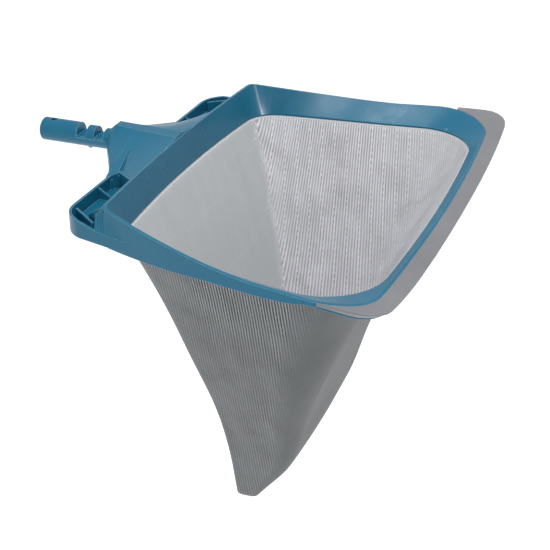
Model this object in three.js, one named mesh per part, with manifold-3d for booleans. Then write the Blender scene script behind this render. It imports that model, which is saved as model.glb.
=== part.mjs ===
// A leaf skimmer head for a swimming pool pole: a blue moulded frame with a tall back collar,
// ribbed rear wings, a humped yoke and a tubular stem, a grey scraper lip, a deep net bag
// clamped under the frame, and the snap button that locks the stem into a pole.
//
// Working frame: x runs from the handle towards the scraper lip, y to the left of the user,
// z up. The back corners of the net mouth lie at x = 0, and the mouth's plane is z = 0.
// The finished part is shifted so that its origin is the centre of the stem's stop.

import * as THREE from "three";
import { mergeVertices } from "three/addons/utils/BufferGeometryUtils.js";
import Module from "manifold-3d";

const wasm = await Module();
wasm.setup();

// ---------------------------------------------------------------- driving dimensions (mm)

// Mouth of the net: a rounded trapezium with bowed edges.
const mouthDepth = 287; // back corners to front corners
const mouthBackHalf = 204;
const mouthFrontHalf = 250.5;
const mouthBackBow = 12.5;
const mouthSideBow = 3;
const mouthFrontBow = 12.5;
const mouthBackRadius = 42;
const mouthFrontRadius = 70;
const mouthDip = 3.6; // the front half of the mouth hangs lower than its back edge
const mouthDipRun = 190; // length over which it falls

// Outer rim, from the top of the collar to the edge of the scraper lip.
const rimBackReach = 14; // the collar leans back by this much
const rimFrontReach = 33; // the lip stands forward of the mouth's front corners
const rimBackHalf = 210;
const rimFrontHalf = 289;
const rimBackBow = 8;
const rimSideBow = 13;
const rimFrontBow = 7;
const rimBackRadius = 14;
const rimFrontRadius = 30;

// Front rail of the frame, where the blue moulding ends and the lip begins.
const railReach = 10.5; // at the front corners
const railBow = 15;
const railRadius = 60;

// Heights above the mouth's plane.
const collarHeight = 37.5;
const sideHeight = 14;
const railHeight = 3.3;
const railRise = [235, 48]; // the rail rises beyond this half width, over this width
const lipEdgeHeight = -5;
const collarRun = 190; // length over which the collar falls to the side height
const skirtDepth = 5; // the wings' walls end this far below the mouth
const skirtTable = [
  [0, -8],
  [70, -5],
  [130, 0],
  [213, 2.6],
  [250, 9],
]; // the collar's lower edge: x and height

// Walls.
const wall = 2.6;
const rimWidth = 3.2;
const flangeWidth = 12;
const flangeThickness = 2.4;
const fitGap = 0.3; // between pieces that touch

// Rear wings.
const wingReach = 69.5; // outer face of the wing's back wall behind the mouth's back corners
const wingHalf = 213;
const wingCornerRadius = 38;
const wingWallTop = 16;
const wingWall = 3;
const wingSideTops = [
  [-wingReach + 19.5, wingWallTop],
  [-20, 10],
  [-3, 8.6],
  [60, 8.6],
]; // the side wall's top edge: x and height
const wingInside = 82; // inner end of the wing
const wingBend = 14; // the side wall turns outwards here, behind the mouth's back corners
const wingStep = 2;
const wingFlare = 15;
const wingFront = 40;
const webSide = 119;
const webTop = [
  [-66, 14],
  [-46, 1],
]; // sloping top of the triangular web
const wingRibTop = wingWallTop - 1;
const gussetHigh = [-rimBackReach, rimBackHalf - 5, collarHeight - 1.5];
const gussetLow = [-wingReach + 28.5, wingHalf - 26, wingRibTop];
const ribBack = [-wingReach + 7.5, wingHalf - 35];
const ribFront = [-wingReach + 41.5, wingHalf - 9];
const deckBack = -30; // x of the deck's inner back corner
const deckOuterBack = -22;
const deckFront = 45;
const deckSteps = 18;
const deckDrop = 8; // thickness measured upright, on a steep slope

// Yoke: sections from the stem to the collar. Each row gives x, the half width, the height
// of the side edge, the half width of the ridge, the ridge's height and the bottom.
const yokeShoulder = 112; // where the yoke begins, behind the mouth's back corners
const yokeTable = [
  [-101, 31.5, 23, 6.5, 44.7, 4],
  [-93, 44, 21.5, 6.9, 44.3, -1],
  [-83.6, 60, 19.5, 7.4, 43.8, -4],
  [-79.3, 68, 18.5, 7.6, 43.6, -4.5],
  [-73.7, 81, 17, 7.9, 43.4, -5],
  [-70.6, 94, 16, 8, 43.3, -5],
  [-66.2, 88.5, 16.8, 8.3, 43.1, -5],
  [-58, 84, 20, 8.6, 42.8, -5],
  [-31, 113, 28, 9.2, 41.8, -5],
  [-19, 118, 31.5, 9.5, 41.3, -5],
];
const yokeWall = 4;
const vGroovePlan = [
  [-66, 38],
  [-59.5, 81],
  [-53, 83],
];
const vGrooveDepth = 3;
const ridgeStep = 0.8; // the ridge stands above the flanks

// Stem.
const stemRadius = 14.25;
const stemBore = 10.6; // radius
const stemHeight = 23.5; // axis above the mouth's plane
const stemLength = 92.5; // from the stop to the tip
const stemEdge = 1.2; // bevel round the tip
const saddleLength = 41.5; // stretch with a lowered top, next to the stop
const saddleDrop = 1.7;
const stepDrop = 2.7; // between the stop and the nearer slot
const slotWidth = 12.6;
const slotFloor = 1.5; // above the stem's axis
const slotOffsets = [5.2, 28.6]; // near edges of the two slots from the stop
const poleHoleRadius = 4.3;
const poleHoleFromTip = 14.7;
const buttonHoleRadius = 4.8;
const buttonHoleShift = 0.35; // towards the stop, where the button swings when pressed
const buttonFromStop = 29;

// Snap clip.
const clipThickness = 0.9;
const clipWidth = 9.6;
const clipBend = 66; // from the stop to the spring's bend
const clipBendRadius = 2.2;
const clipFlat = 19; // length of the level part at the end of each leg
const buttonRadius = 3.6;
const buttonProud = 2.6;
const buttonHeadRadius = 4.6;
const buttonHeadHeight = 1.6;
const seatGap = 0.35; // between a leg at rest and the bore

// Clamp ring, hem and lip under the frame.
const hemThickness = 1;
const cordRadius = 1.3;
const ringThickness = 2;
const ringReach = 9; // outer edge of the ring outside the mouth
const ringSetback = 0.9; // inner edge of the ring outside the mouth
const lipEdgeThickness = 2.2;
const lipStep = 0.4; // the lip lies this far below the rail's edge
const lipShelfThickness = 2.4;
const lipShelfShare = 0.62; // of the lip's width that rests on the frame's shelf
const lipLeastWidth = 1.2;

// Screws.
const screwShank = 1.6;
const screwHead = 3.1;
const screwHeadHeight = 1.5;
const screwLength = 7;
const lipScrewBite = 3; // into the lip
const clampScrewShares = [0.07, 0.39, 0.5, 0.64]; // of the way round each half
const lipScrewSides = [0, 95, 190]; // from the middle of the front
const clampScrewOffset = 4; // outside the mouth's edge
const bossRadius = 3.4;
const bossTop = 0.6;
const slotPad = 2; // thickness of the floors under the stem's slots

// Net bag: its four corners at equal steps down from the mouth. Each row gives the back
// corners' x, the back half width, the front corners' x and the front half width.
const bagDepth = 405;
const bagTable = [
  [27, 178, 249, 213.5],
  [50, 154.5, 217, 184],
  [70, 130, 189, 152],
  [78.5, 106, 164, 117],
  [80, 83, 110, 82],
];
const bagToeRadius = 9;
const bagToeBow = 1;
const bagRows = 10;
const netThickness = 1.1;
const netSetback = 0.6; // net's outer face inside the mouth's edge
const seamGap = 0.5;

// Facets per stretch of a mouth-shaped loop.
const rimFacets = { back: 6, backCorner: 4, side: 13, frontCorner: 5, front: 5 };
const bagFacets = { back: 5, backCorner: 6, side: 6, frontCorner: 6, front: 5 };
const fineFacets = { back: 80, backCorner: 40, side: 120, frontCorner: 40, front: 80 };
const chordLimit = 0.25; // how far a facet may cut inside the mouth's curve
const roundFacets = 28;
const smallFacets = 10;

// ---------------------------------------------------------------- helpers

// A closed geometry as a solid, with its faces turned out.
function toSolid(geometry) {
  const bare = geometry.clone();
  bare.deleteAttribute("normal");
  bare.deleteAttribute("uv");
  const merged = mergeVertices(bare, 1e-4);
  const triVerts = new Uint32Array(merged.index.array);
  const vertProperties = new Float32Array(merged.attributes.position.array);
  const solid = new wasm.Manifold(
    new wasm.Mesh({ numProp: 3, vertProperties, triVerts }),
  );
  if (solid.volume() > 0) return solid;
  for (let i = 0; i < triVerts.length; i += 3) {
    const swap = triVerts[i + 1];
    triVerts[i + 1] = triVerts[i + 2];
    triVerts[i + 2] = swap;
  }
  return new wasm.Manifold(
    new wasm.Mesh({ numProp: 3, vertProperties, triVerts }),
  );
}

function toGeometry(solid) {
  const mesh = solid.getMesh();
  const points = new Float32Array(mesh.numVert * 3);
  for (let i = 0; i < mesh.numVert; i++) {
    const start = i * mesh.numProp;
    points.set(mesh.vertProperties.subarray(start, start + 3), i * 3);
  }
  const geometry = new THREE.BufferGeometry();
  geometry.setAttribute("position", new THREE.BufferAttribute(points, 3));
  geometry.setIndex(new THREE.BufferAttribute(mesh.triVerts, 1));
  geometry.computeVertexNormals();
  return geometry;
}

const join = (...solids) => solids.reduce((a, b) => a.add(b));
const cut = (solid, ...tools) => tools.reduce((a, b) => a.subtract(b), solid);

// Indexed triangles over a grid of points, rows by columns.
function gridFaces(rows, columns, closedRows, closedColumns, index) {
  const faces = [];
  const lastRow = closedRows ? rows : rows - 1;
  const lastColumn = closedColumns ? columns : columns - 1;
  for (let r = 0; r < lastRow; r++) {
    for (let c = 0; c < lastColumn; c++) {
      const a = index(r, c);
      const b = index((r + 1) % rows, c);
      const d = index(r, (c + 1) % columns);
      const e = index((r + 1) % rows, (c + 1) % columns);
      faces.push(a, b, e, a, e, d);
    }
  }
  return faces;
}

function pointGeometry(points, faces) {
  const flat = points.flatMap((p) => [p.x, p.y, p.z]);
  const geometry = new THREE.BufferGeometry();
  geometry.setAttribute("position", new THREE.Float32BufferAttribute(flat, 3));
  geometry.setIndex(faces);
  return geometry;
}

// A closed ring: each section is a closed polygon, and the last section meets the first.
function ringSolid(sections) {
  const columns = sections[0].length;
  const faces = gridFaces(
    sections.length,
    columns,
    true,
    true,
    (r, c) => r * columns + c,
  );
  return toSolid(pointGeometry(sections.flat(), faces));
}

// A bar: each section is a closed polygon, and both ends are capped by a fan.
function barSolid(sections) {
  const columns = sections[0].length;
  const index = (r, c) => r * columns + c;
  const faces = gridFaces(sections.length, columns, false, true, index);
  const last = sections.length - 1;
  for (let c = 1; c < columns - 1; c++) {
    faces.push(index(0, 0), index(0, c), index(0, c + 1));
    faces.push(index(last, 0), index(last, c + 1), index(last, c));
  }
  return toSolid(pointGeometry(sections.flat(), faces));
}

function extrude(outline, bottom, top) {
  const shape = new THREE.Shape(outline.map(([x, y]) => new THREE.Vector2(x, y)));
  const geometry = new THREE.ExtrudeGeometry(shape, {
    depth: top - bottom,
    bevelEnabled: false,
  });
  return toSolid(geometry.translate(0, 0, bottom));
}

function box(x0, x1, y0, y1, z0, z1) {
  const geometry = new THREE.BoxGeometry(x1 - x0, y1 - y0, z1 - z0);
  return toSolid(
    geometry.translate((x0 + x1) / 2, (y0 + y1) / 2, (z0 + z1) / 2),
  );
}

// An upright round bar.
function post(x, y, z0, z1, radius, sides = smallFacets) {
  const geometry = new THREE.CylinderGeometry(radius, radius, z1 - z0, sides);
  geometry.rotateX(Math.PI / 2);
  return toSolid(geometry.translate(x, y, (z0 + z1) / 2));
}

// A round bar along x, on the stem's axis.
function bar(x0, x1, radius) {
  const geometry = new THREE.CylinderGeometry(
    radius,
    radius,
    x1 - x0,
    roundFacets,
  );
  geometry.rotateZ(Math.PI / 2);
  return toSolid(geometry.translate((x0 + x1) / 2, 0, stemHeight));
}

const mix = (a, b, t) => a + (b - a) * t;
const clamp01 = (t) => Math.min(1, Math.max(0, t));
const smoothStep = (t) => t * t * (3 - 2 * t);

// A value read from rows of [place, value], straight between them.
function readTable(table, at) {
  const next = Math.max(1, table.findIndex(([x]) => x >= at));
  const [a, b] = at > table.at(-1)[0] ? table.slice(-2) : [table[next - 1], table[next]];
  return mix(a[1], b[1], clamp01((at - a[0]) / (b[0] - a[0])));
}

// Height of the mouth's edge.
const mouthZ = (x) => -mouthDip * smoothStep(clamp01(x / mouthDipRun));

// ---------------------------------------------------------------- mouth-shaped loops

// The circle through a and b that stands out by bow on the left of the way from a to b.
function bowedEdge(a, b, bow) {
  const chord = a.distanceTo(b);
  const radius = (chord * chord) / (8 * bow) + bow / 2;
  const along = b.clone().sub(a).divideScalar(chord);
  const outward = new THREE.Vector2(-along.y, along.x);
  const middle = a.clone().add(b).multiplyScalar(0.5);
  return {
    centre: middle.addScaledVector(outward, bow - radius),
    radius,
  };
}

// Centre of the fillet that rounds the corner between two bowed edges.
function filletCentre(first, second, radius, corner) {
  const r1 = first.radius - radius;
  const r2 = second.radius - radius;
  const between = second.centre.clone().sub(first.centre);
  const distance = between.length();
  const along = (r1 * r1 - r2 * r2 + distance * distance) / (2 * distance);
  const aside = Math.sqrt(Math.max(0, r1 * r1 - along * along));
  const unit = between.divideScalar(distance);
  const foot = first.centre.clone().addScaledVector(unit, along);
  const left = new THREE.Vector2(-unit.y, unit.x);
  const choices = [aside, -aside].map((s) =>
    foot.clone().addScaledVector(left, s),
  );
  return choices.sort((p, q) => p.distanceTo(corner) - q.distanceTo(corner))[0];
}

function arcPoints(centre, radius, from, to, count, withLast) {
  const points = [];
  const last = withLast ? count : count - 1;
  for (let i = 0; i <= last; i++) {
    const angle = mix(from, to, i / count);
    points.push(
      new THREE.Vector2(
        centre.x + radius * Math.cos(angle),
        centre.y + radius * Math.sin(angle),
      ),
    );
  }
  return points;
}

const angleFrom = (centre, point) =>
  Math.atan2(point.y - centre.y, point.x - centre.x);

// Points from the middle of the back edge, round the left side, to the middle of the front.
function halfLoop(s, facets) {
  const back = new THREE.Vector2(s.back, s.backHalf);
  const front = new THREE.Vector2(s.front, s.frontHalf);
  const mirror = (p) => new THREE.Vector2(p.x, -p.y);
  const backEdge = bowedEdge(mirror(back), back, s.backBow);
  const sideEdge = bowedEdge(back, front, s.sideBow);
  const frontEdge = bowedEdge(front, mirror(front), s.frontBow);
  const backFillet = filletCentre(backEdge, sideEdge, s.backRadius, back);
  const frontFillet = filletCentre(sideEdge, frontEdge, s.frontRadius, front);
  const backTurn = angleFrom(backEdge.centre, backFillet);
  const sideStart = angleFrom(sideEdge.centre, backFillet);
  const sideEnd = angleFrom(sideEdge.centre, frontFillet);
  const frontTurn = angleFrom(frontEdge.centre, frontFillet);
  return [
    ...arcPoints(
      backEdge.centre,
      backEdge.radius,
      Math.PI,
      backTurn,
      facets.back,
    ),
    ...arcPoints(
      backFillet,
      s.backRadius,
      backTurn,
      sideStart,
      facets.backCorner,
    ),
    ...arcPoints(
      sideEdge.centre,
      sideEdge.radius,
      sideStart,
      sideEnd,
      facets.side,
    ),
    ...arcPoints(
      frontFillet,
      s.frontRadius,
      sideEnd,
      frontTurn,
      facets.frontCorner,
    ),
    ...arcPoints(
      frontEdge.centre,
      frontEdge.radius,
      frontTurn,
      0,
      facets.front,
      true,
    ),
  ];
}

// The whole loop, clockwise seen from above, starting at the middle of the back edge.
function wholeLoop(half) {
  const mirrored = half
    .slice(1, -1)
    .reverse()
    .map((p) => new THREE.Vector2(p.x, -p.y));
  return [...half, ...mirrored];
}

const mouthShape = {
  back: 0,
  front: mouthDepth,
  backHalf: mouthBackHalf,
  frontHalf: mouthFrontHalf,
  backBow: mouthBackBow,
  sideBow: mouthSideBow,
  frontBow: mouthFrontBow,
  backRadius: mouthBackRadius,
  frontRadius: mouthFrontRadius,
};
const rimShape = {
  back: -rimBackReach,
  front: mouthDepth + rimFrontReach,
  backHalf: rimBackHalf,
  frontHalf: rimFrontHalf,
  backBow: rimBackBow,
  sideBow: rimSideBow,
  frontBow: rimFrontBow,
  backRadius: rimBackRadius,
  frontRadius: rimFrontRadius,
};
const mouthCurve = halfLoop(mouthShape, fineFacets);
const rimCurve = halfLoop(rimShape, fineFacets);

// The point of a curve that is nearest to p.
function nearestOn(curve, p) {
  let best = curve[0];
  for (let i = 0; i < curve.length - 1; i++) {
    const way = curve[i + 1].clone().sub(curve[i]);
    const share = clamp01(p.clone().sub(curve[i]).dot(way) / way.lengthSq());
    const point = curve[i].clone().addScaledVector(way, share);
    if (point.distanceTo(p) < best.distanceTo(p)) best = point;
  }
  return best.clone();
}

// Points of the rim, closer together wherever the mouth's edge would be cut short.
const rimHalf = (() => {
  const points = halfLoop(rimShape, rimFacets);
  for (let i = 0; i < points.length - 1; i++) {
    const middle = nearestOn(
      rimCurve,
      points[i].clone().lerp(points[i + 1], 0.5),
    );
    const from = nearestOn(mouthCurve, points[i]);
    const way = nearestOn(mouthCurve, points[i + 1]).sub(from);
    const over = nearestOn(mouthCurve, middle).sub(from);
    const shortfall = Math.abs(way.cross(over)) / way.length();
    if (shortfall > chordLimit) {
      points.splice(i + 1, 0, middle);
      i -= 1;
    }
  }
  return points;
})();
const lastStation = rimHalf.length - 1;

// The rail follows the rim along the sides and rounds the front corners early.
const railEdge = (() => {
  const back = new THREE.Vector2(rimShape.back, rimShape.backHalf);
  const front = new THREE.Vector2(rimShape.front, rimShape.frontHalf);
  const side = bowedEdge(back, front, rimSideBow);
  const railFront = mouthDepth + railReach;
  const top = new THREE.Vector2(railFront, rimFrontHalf);
  const bottom = new THREE.Vector2(railFront, -rimFrontHalf);
  const edge = bowedEdge(top, bottom, railBow);
  const fillet = filletCentre(side, edge, railRadius, top);
  const sideEnd = angleFrom(side.centre, fillet);
  return {
    fillet,
    sideEnd,
    frontTurn: angleFrom(edge.centre, fillet),
    edge,
    side,
    start: fillet.x + railRadius * Math.cos(sideEnd),
  };
})();

// Where a ray from the mouth's edge through a rim point first meets the rail.
function railPoint(mouthPoint, rimPoint) {
  if (rimPoint.x <= railEdge.start) return rimPoint.clone();
  const curve = [
    ...arcPoints(
      railEdge.side.centre,
      railEdge.side.radius,
      railEdge.sideEnd + 0.03,
      railEdge.sideEnd,
      2,
    ),
    ...arcPoints(
      railEdge.fillet,
      railRadius,
      railEdge.sideEnd,
      railEdge.frontTurn,
      24,
    ),
    ...arcPoints(
      railEdge.edge.centre,
      railEdge.edge.radius,
      railEdge.frontTurn,
      -0.01,
      12,
      true,
    ),
  ];
  const ray = rimPoint.clone().sub(mouthPoint);
  const side = (p) => ray.cross(p.clone().sub(mouthPoint));
  for (let i = 0; i < curve.length - 1; i++) {
    const a = side(curve[i]);
    const b = side(curve[i + 1]);
    if (a * b <= 0 && a !== b) return curve[i].clone().lerp(curve[i + 1], a / (a - b));
  }
  return rimPoint.clone();
}

// Height of the outer rim at a plan point.
function rimHeight(p) {
  const fall = clamp01((p.x + rimBackReach) / collarRun);
  const side = sideHeight + (collarHeight - sideHeight) * (1 - fall) ** 1.4;
  const lip =
    lipEdgeHeight + (side - lipEdgeHeight) * clamp01(Math.abs(p.y) / rimFrontHalf) ** 4;
  const forward = clamp01((p.x - mouthDepth + 20) / 40);
  return mix(side, lip, smoothStep(forward));
}

// Height of the blue moulding's outer edge at a plan point.
function railTop(p) {
  const share = clamp01((Math.abs(p.y) - railRise[0]) / railRise[1]);
  const front = mix(railHeight, sideHeight, share ** 2);
  const forward = clamp01((p.x - railEdge.start) / 20);
  return mix(rimHeight(p), front, forward);
}

// What each station of the loop needs: its mouth point, the way outwards, and the edges.
const stations = rimHalf.map((rim) => {
  const mouthPoint = nearestOn(mouthCurve, rim);
  const rail = railPoint(mouthPoint, rim);
  const outward = rim.clone().sub(mouthPoint).normalize();
  const rimOffset = rim.distanceTo(mouthPoint);
  const railOffset = rail.distanceTo(mouthPoint);
  const hasLip = rimOffset - railOffset > lipLeastWidth;
  const rimZ = rimHeight(rim) - mouthZ(rim.x);
  const skirt = readTable(skirtTable, rail.x) - mouthZ(rail.x);
  const railZ = (rim.x > railEdge.start ? railTop(rail) : rimHeight(rim)) - mouthZ(rail.x);
  const shelfTop = Math.min(rimZ, railZ - lipStep) - lipEdgeThickness - fitGap;
  return {
    mouth: mouthPoint,
    rim,
    outward,
    rimOffset,
    railOffset,
    hasLip,
    rimZ,
    railZ,
    shelfTop,
    skirtZ: hasLip ? Math.min(skirt, shelfTop - lipShelfThickness) : skirt,
  };
});

// Heights are measured from the mouth's edge.
function place(station, offset, z, side) {
  return new THREE.Vector3(
    station.mouth.x + station.outward.x * offset,
    side * (station.mouth.y + station.outward.y * offset),
    z + mouthZ(station.mouth.x + station.outward.x * offset),
  );
}

// Sections all round the loop, each made by profile(station) as [offset, z] pairs.
function loopSections(profile) {
  const half = stations.map((s) => profile(s).map(([o, z]) => place(s, o, z, 1)));
  const mirrored = stations
    .slice(1, -1)
    .reverse()
    .map((s) => profile(s).map(([o, z]) => place(s, o, z, -1)));
  return [...half, ...mirrored];
}

// ---------------------------------------------------------------- frame body

function collarWall(s) {
  const run = s.railOffset - rimWidth;
  const slope = Math.hypot(run, s.railZ);
  const foot = Math.min((wall * slope) / s.railZ, s.railOffset / 2);
  return [
    [0, -flangeThickness],
    [0, 0],
    [run, s.railZ],
    [s.railOffset, s.railZ - 0.5],
    [s.railOffset, s.skirtZ],
    [s.railOffset - wall, s.skirtZ],
    [s.railOffset - wall, s.railZ - wall],
    [foot, -flangeThickness],
  ];
}

// Behind the collar the flange runs on into the yoke and wings.
const flangeReach = (s) =>
  s.mouth.x < 0 ? flangeWidth : Math.min(flangeWidth, s.railOffset - fitGap);

function flange(s) {
  return [
    [0, -flangeThickness],
    [0, 0],
    [flangeReach(s), 0],
    [flangeReach(s), -flangeThickness],
  ];
}

// The shelf outside the front rail that the lip rests on.
const lipInner = (s) => s.railOffset + fitGap;
const shelfReach = (s) => mix(lipInner(s), s.rimOffset, lipShelfShare);

function shelf(s) {
  return [
    [s.railOffset - wall / 2, s.shelfTop - lipShelfThickness],
    [s.railOffset - wall / 2, s.shelfTop],
    [shelfReach(s), s.shelfTop],
    [shelfReach(s), s.shelfTop - lipShelfThickness],
  ];
}

// Sections over the stations that carry the lip, from one end to the other.
function lipSections(profile) {
  const wide = stations.filter((s) => s.hasLip);
  const side = (list, sign) =>
    list.map((s) => profile(s).map(([o, z]) => place(s, o, z, sign)));
  return [...side(wide, 1), ...side(wide.slice(0, -1).reverse(), -1)];
}

// The yoke's sections, with the stem's end before the first and one more between each two.
const yokeKnots = [
  [
    -yokeShoulder,
    stemRadius - 1,
    stemHeight + 2,
    4,
    stemHeight + stemRadius - stepDrop,
    stemHeight - stemRadius + 2,
  ],
  ...yokeTable,
];
const yokeSections = yokeKnots.flatMap((row, i) => {
  if (i === 0) return [row];
  const middle = row.map((value, k) => (value + yokeKnots[i - 1][k]) / 2);
  return [middle, row];
});

// One side of a yoke section, from the bottom to the ridge.
function yokeSide([, half, edge, ridgeHalf, ridge, bottom]) {
  const flank = [0, 1 / 3, 2 / 3, 1].map((t) => [
    mix(half, ridgeHalf + ridgeStep / 2, t),
    mix(edge, ridge - ridgeStep, t),
  ]);
  return [[half, bottom], ...flank, [ridgeHalf, ridge]];
}

function yokeOuter() {
  return barSolid(
    yokeSections.map((row) => {
      const side = yokeSide(row);
      return [
        ...side.map(([y, z]) => new THREE.Vector3(row[0], -y, z)),
        ...side.map(([y, z]) => new THREE.Vector3(row[0], y, z)).reverse(),
      ];
    }),
  );
}

// The hollow under the yoke: the same sections, a wall smaller and open below.
function yokeHollow() {
  return barSolid(
    yokeSections.slice(2).map(([x, half, edge, ridgeHalf, ridge]) => [
      new THREE.Vector3(x + yokeWall, -half + yokeWall, -3 * skirtDepth),
      new THREE.Vector3(x + yokeWall, -half + yokeWall, edge - yokeWall),
      new THREE.Vector3(x + yokeWall, -ridgeHalf, ridge - yokeWall),
      new THREE.Vector3(x + yokeWall, ridgeHalf, ridge - yokeWall),
      new THREE.Vector3(x + yokeWall, half - yokeWall, edge - yokeWall),
      new THREE.Vector3(x + yokeWall, half - yokeWall, -3 * skirtDepth),
    ]),
  );
}

// Height of the yoke's flank at a plan point.
function flankHeight(x, y) {
  const next = Math.max(
    1,
    yokeSections.findIndex((row) => row[0] >= x),
  );
  const [a, b] = [yokeSections[next - 1], yokeSections[next]];
  const share = (x - a[0]) / (b[0] - a[0]);
  const [, half, edge, ridgeHalf, ridge] = a.map((v, k) => mix(v, b[k], share));
  return mix(ridge - ridgeStep, edge, clamp01((y - ridgeHalf) / (half - ridgeHalf)));
}

// A tapered groove in each flank of the yoke.
function vGroove(side) {
  const floor = vGroovePlan.map(
    ([x, y]) =>
      new THREE.Vector3(x, side * y, flankHeight(x, y) - vGrooveDepth),
  );
  const open = floor.map((p) => p.clone().setZ(2 * collarHeight));
  return barSolid([floor, open]);
}

// Plan outline of a wing, outer edge first, on the side given by its sign.
function wingOutline(side, inset) {
  const x = -wingReach + inset;
  const y = wingHalf - inset;
  const radius = wingCornerRadius - inset;
  const corner = arcPoints(
    new THREE.Vector2(x + radius, y - radius - 3),
    radius,
    Math.PI,
    Math.PI / 2 + 0.35,
    7,
    true,
  ).map((p) => [p.x, p.y]);
  const start = wingInside + inset;
  const outline = [
    [-10, start],
    [x, start],
    ...corner,
    [-wingBend, wingHalf + wingStep - inset],
    [wingFront, wingHalf + wingFlare - inset],
    [wingFront, wingHalf - 9],
    [-10, wingHalf - 15],
  ];
  return outline.map(([px, py]) => [px, side * py]);
}

// An upright web through points [x, y, z] of its top edge, on the side given by its sign.
function web(side, top, bottom = -flangeThickness) {
  const [first, last] = [top[0], top[top.length - 1]];
  const along = new THREE.Vector2(last[0] - first[0], last[1] - first[1]).normalize();
  const slice = (shift) =>
    [...top, [last[0], last[1], bottom], [first[0], first[1], bottom]].map(
      ([x, y, z]) =>
        new THREE.Vector3(x - along.y * shift, side * (y + along.x * shift), z),
    );
  return barSolid([slice(-wall / 2), slice(wall / 2)]);
}

// The space above the sloping top edge of a wing's side wall.
function aboveSideWall(side) {
  const [back, front] = [wingSideTops[0][0], wingSideTops[wingSideTops.length - 1][0]];
  const outline = [...wingSideTops, [front, 3 * collarHeight], [back, 3 * collarHeight]];
  const slice = (y) => outline.map(([x, z]) => new THREE.Vector3(x, side * y, z));
  return barSolid([slice(wingHalf - 12), slice(wingHalf + 40)]);
}

// Outer face of a wing's side wall.
const wingSideY = (x) =>
  wingHalf + wingStep + ((wingFlare - wingStep) * (x + wingBend)) / (wingFront + wingBend);

// Inner edge of the deck: down the gusset behind the collar's corner, then along the collar.
function deckInner(x) {
  if (x < gussetHigh[0]) {
    const share = (x - gussetHigh[0]) / (gussetLow[0] - gussetHigh[0]);
    return new THREE.Vector3(...gussetHigh.map((v, k) => mix(v, gussetLow[k], share)));
  }
  const collar = nearestOn(rimCurve, new THREE.Vector2(x, rimBackHalf));
  return new THREE.Vector3(collar.x, collar.y - wall / 2, rimHeight(collar) - 1);
}

// The deck that falls from the gusset and the collar's top edge to the side wall's top edge.
function deck(side) {
  const sections = [];
  for (let i = 0; i <= deckSteps; i++) {
    const high = deckInner(mix(deckBack, deckFront, i / deckSteps));
    const x = mix(deckOuterBack, deckFront, i / deckSteps);
    const rim = nearestOn(rimCurve, new THREE.Vector2(x, rimBackHalf));
    const y = Math.max(wingSideY(x), rim.y) - 0.2;
    const z = readTable(wingSideTops, x) - 0.1;
    const drop = new THREE.Vector3(0, 0, -deckDrop);
    const inner = new THREE.Vector3(high.x, side * high.y, high.z);
    const outer = new THREE.Vector3(x, side * y, z);
    sections.push([outer, inner, inner.clone().add(drop), outer.clone().add(drop)]);
  }
  return barSolid(sections);
}

function wing(side) {
  const outer = extrude(wingOutline(side, 0), -skirtDepth, wingWallTop);
  const inner = extrude(wingOutline(side, wingWall), 0, 2 * wingWallTop);
  const below = extrude(
    wingOutline(side, wingWall),
    -2 * skirtDepth,
    -flangeThickness,
  );
  const shell = cut(outer, inner, below, aboveSideWall(side));
  const webs = [
    web(side, webTop.map(([x, z]) => [x, webSide, z])),
    web(side, [gussetHigh, gussetLow]),
    web(side, [[...ribBack, wingRibTop], [...ribFront, wingRibTop]]),
  ];
  return join(shell, ...webs, deck(side));
}

const stop = -yokeShoulder;
const stemTip = stop - stemLength;
const slotEnd = stop - slotOffsets[1] - slotWidth - slotPad; // the bore's roof is solid from here

// A tube's outside with a bevelled tip.
function stemOutside(end) {
  const profile = [
    [0, stemTip],
    [stemRadius - stemEdge, stemTip],
    [stemRadius, stemTip + stemEdge],
    [stemRadius, end],
    [0, end],
  ].map(([r, x]) => new THREE.Vector2(r, x));
  const geometry = new THREE.LatheGeometry(profile, roundFacets);
  geometry.rotateZ(-Math.PI / 2);
  return toSolid(geometry.translate(0, 0, stemHeight));
}

// The stretch of the stem between two places that stands above a lowered top.
function topCut(from, to, drop) {
  return cut(
    box(from, to, -30, 30, stemHeight, stemHeight + 30),
    bar(from - 1, to + 1, stemRadius - drop),
  );
}

function stem() {
  const rampStart = yokeTable[0][0];
  const outside = cut(
    stemOutside(rampStart + 6),
    topCut(stop - saddleLength, stop - slotOffsets[0], saddleDrop),
    topCut(stop - slotOffsets[0], rampStart + 8, stepDrop),
  );
  const tube = join(outside, yokeOuter());
  const bore = cut(
    bar(stemTip - 1, rampStart + 8, stemBore),
    box(
      slotEnd,
      rampStart + 9,
      -30,
      30,
      stemHeight + slotFloor - slotPad,
      stemHeight + 30,
    ),
  );
  const hollow = join(bore, yokeHollow());
  const slots = slotOffsets.map((offset) =>
    box(
      stop - offset - slotWidth,
      stop - offset,
      -30,
      30,
      stemHeight + slotFloor,
      stemHeight + 30,
    ),
  );
  const tipHole = post(
    stemTip + poleHoleFromTip,
    0,
    stemHeight - 2 * stemRadius,
    stemHeight + 2 * stemRadius,
    poleHoleRadius,
    roundFacets,
  );
  const buttonHole = post(
    stop - buttonFromStop + buttonHoleShift,
    0,
    stemHeight - 2 * stemRadius,
    stemHeight,
    buttonHoleRadius,
    roundFacets,
  );
  return cut(tube, hollow, ...slots, tipHole, buttonHole);
}


const stationAt = (share) => stations[Math.round(share * lastStation)];

function screwPlace(s, offset, side) {
  const { x, y } = place(s, offset, 0, side);
  return { x, y, station: s };
}

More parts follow.
